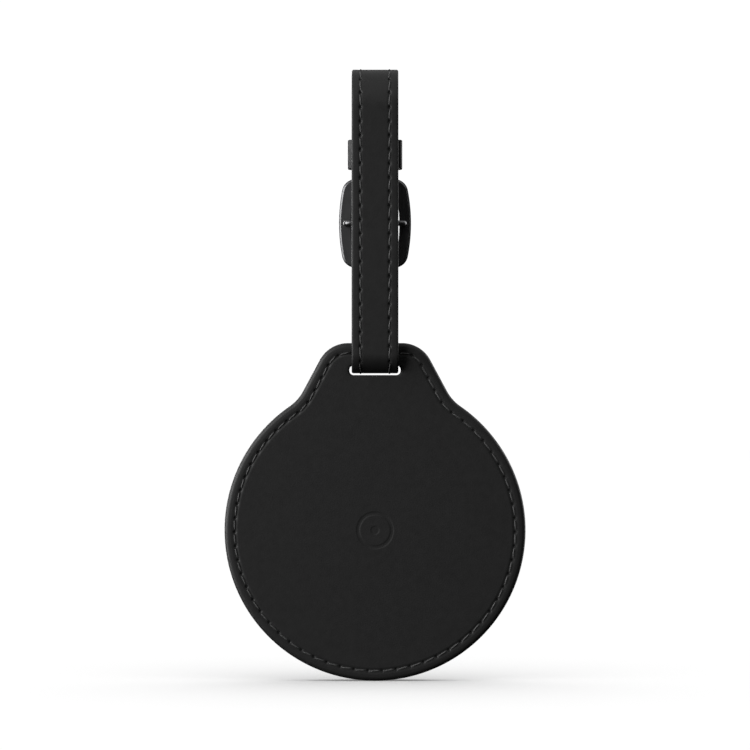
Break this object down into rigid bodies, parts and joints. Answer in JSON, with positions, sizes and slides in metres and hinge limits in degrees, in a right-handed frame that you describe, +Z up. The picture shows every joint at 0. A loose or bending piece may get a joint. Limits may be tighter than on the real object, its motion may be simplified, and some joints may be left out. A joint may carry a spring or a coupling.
{
  "type": "bluetooth tracker tag",
  "caption": "Round leather tracker tag with a tab that hangs in a buckled leather strap loop, with a sealed rechargeable module, a push button and a buzzer inside.",
  "frame": {"origin": "top of the inside of the strap loop, where the loop hangs on a handle or hook", "axes": "+X across the tag to the right seen from the front, +Y from the front to the back, +Z up; the tag hangs along -Z and its front faces -Y"},
  "size_m": [0.065, 0.0176, 0.132],
  "materials": {
    "leather": "fine-grained black leather, semi-matt",
    "lining_leather": "smooth black lining leather, matt",
    "thread": "twisted black polyester thread",
    "black_metal": "satin black plated zinc",
    "steel": "bright nickel-plated steel",
    "case_plastic": "fine-textured moulded plastic",
    "gasket_rubber": "matt silicone",
    "board": "solder-masked glass fibre",
    "chip": "moulded epoxy",
    "ceramic": "fired ceramic",
    "copper": "enamelled copper wire",
    "brass": "bright rolled brass",
    "ferrite": "flexible ferrite",
    "battery_foil": "satin pouch foil",
    "foam": "foam tape",
    "red_wire": "silicone insulation",
    "black_wire": "silicone insulation",
    "clear_plastic": "clear moulded plastic"
  },
  "bodies": {
    "strap": {"strap_outer": "leather", "strap_lining": "lining_leather", "strap_thread_left": "thread", "strap_thread_right": "thread", "tail_outer": "leather", "tail_lining": "lining_leather", "tail_thread_left": "thread", "tail_thread_right": "thread", "strap_flex_front": "leather", "strap_flex_rear": "leather"},
    "buckle": {"buckle_frame": "black_metal", "buckle_bar": "black_metal"},
    "prong": {"buckle_prong": "black_metal"},
    "keeper": {"keeper_loop": "leather"},
    "tag": {"wrap_outer": "leather", "wrap_lining": "lining_leather", "wrap_thread_left": "thread", "wrap_thread_right": "thread", "front_cover": "leather", "rear_cover": "leather", "core_frame": "leather", "front_thread": "thread", "rear_thread": "thread", "front_shell": "case_plastic", "rear_shell": "case_plastic", "shell_gasket": "gasket_rubber", "shell_screw_1": "steel", "shell_screw_2": "steel", "shell_screw_3": "steel", "circuit_board": "board", "bluetooth_chip": "chip", "shield_can": "steel", "crystal": "steel", "chip_antenna": "ceramic", "charging_chip": "chip", "power_inductor": "ferrite", "motion_sensor": "chip", "status_led": "ceramic", "light_pipe": "clear_plastic", "tact_switch": "chip", "button_bezel": "black_metal", "battery_cell": "battery_foil", "battery_pad": "foam", "battery_lead_red": "red_wire", "battery_lead_black": "black_wire", "charging_coil": "copper", "ferrite_sheet": "ferrite", "buzzer_ring": "case_plastic", "buzzer_plate": "brass", "buzzer_ceramic": "ceramic"},
    "button": {"button_cap": "case_plastic", "switch_actuator": "chip"}
  },
  "joints": [
    {"name": "tag_swing", "type": "hinge", "parent": "strap", "child": "tag", "pos_m": [0, 0, -0.0505], "axis": [1, 0, 0], "range_deg": [-45, 45], "deforming": ["strap_flex_front", "strap_flex_rear"]},
    {"name": "buckle_pivot", "type": "hinge", "parent": "strap", "child": "buckle", "pos_m": [0, 0.0052, -0.0313], "axis": [1, 0, 0], "range_deg": [-6, 2]},
    {"name": "prong_pivot", "type": "hinge", "parent": "buckle", "child": "prong", "pos_m": [0, 0.0052, -0.0313], "axis": [1, 0, 0], "range_deg": [0, 22]},
    {"name": "keeper_slide", "type": "slide", "parent": "strap", "child": "keeper", "axis": [0, 0, 1], "range_m": [-0.0019, 0.0065]},
    {"name": "button_press", "type": "slide", "parent": "tag", "child": "button", "axis": [0, -1, 0], "range_m": [0, 0.00025], "stiffness_N_per_m": 400}
  ]
}
